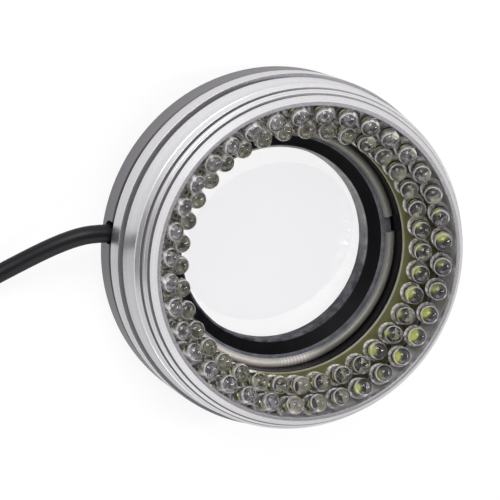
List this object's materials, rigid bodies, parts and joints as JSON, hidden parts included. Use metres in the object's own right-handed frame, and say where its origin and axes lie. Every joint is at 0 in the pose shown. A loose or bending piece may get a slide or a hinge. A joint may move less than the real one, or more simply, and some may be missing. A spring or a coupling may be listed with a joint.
{
  "type": "microscope led ring light",
  "caption": "Ring light for a stereo microscope: banded round housing with rings of leaning LEDs round a glazed bore, turning rear collar and a thin supply cord with a DC plug.",
  "frame": {"origin": "on the light's axis, in the plane of the rear collar's face that the light stands on", "axes": "+Z along the light's axis towards the LEDs; the supply cord leaves along -X"},
  "size_m": [0.2136, 0.1029, 0.0401],
  "materials": {
    "housing_aluminium": "fine turned, satin",
    "cover_anodised": "dark grey anodised",
    "black_anodised": "black anodised, satin",
    "sleeve_black": "gloss black",
    "window_glass": "polished",
    "screw_steel": "zinc plated",
    "ring_steel": "drawn wire, bright",
    "board_green": "olive green solder mask",
    "lamp_clear": "clear moulded epoxy",
    "lead_tinned": "tinned",
    "phosphor": "yellow fill",
    "brass_turned": "turned",
    "solder": "bright solder",
    "resistor_black": "moulded",
    "clamp_black": "moulded nylon",
    "wire_red": "insulation",
    "wire_black": "insulation",
    "cord_jacket": "smooth black jacket",
    "tie_black": "moulded",
    "plug_plastic": "moulded",
    "plug_metal": "nickel plated",
    "plug_insulator": "moulded"
  },
  "bodies": {
    "lamp_head": {"housing": "housing_aluminium", "back_cover": "cover_anodised", "cover_screws": "screw_steel", "bore_sleeve": "sleeve_black", "sleeve_screws": "screw_steel", "retaining_ring": "ring_steel", "inner_lamps": "lamp_clear", "outer_lamps": "lamp_clear", "inner_lead_frames": "lead_tinned", "outer_lead_frames": "lead_tinned", "inner_phosphors": "phosphor", "outer_phosphors": "phosphor", "led_board": "board_green", "board_spacers": "brass_turned", "board_screws": "screw_steel", "solder_joints": "solder", "resistors": "resistor_black", "cord_clamp": "clamp_black", "clamp_screws": "screw_steel", "supply_wire_red": "wire_red", "supply_wire_black": "wire_black", "cord_lead": "cord_jacket", "cord_coil": "cord_jacket", "cord_tail": "cord_jacket", "coil_ties": "tie_black", "plug_body": "plug_plastic", "plug_barrel": "plug_metal", "plug_insulator": "plug_insulator", "plug_contact": "plug_metal"},
    "adapter": {"lens_adapter": "black_anodised", "window_glass": "window_glass", "glass_retainer": "black_anodised", "collar_screws": "screw_steel"}
  },
  "joints": [
    {"name": "swivel", "type": "hinge", "parent": "lamp_head", "child": "adapter", "pos_m": [0, 0, 0.008], "axis": [0, 0, 1], "continuous": true}
  ]
}
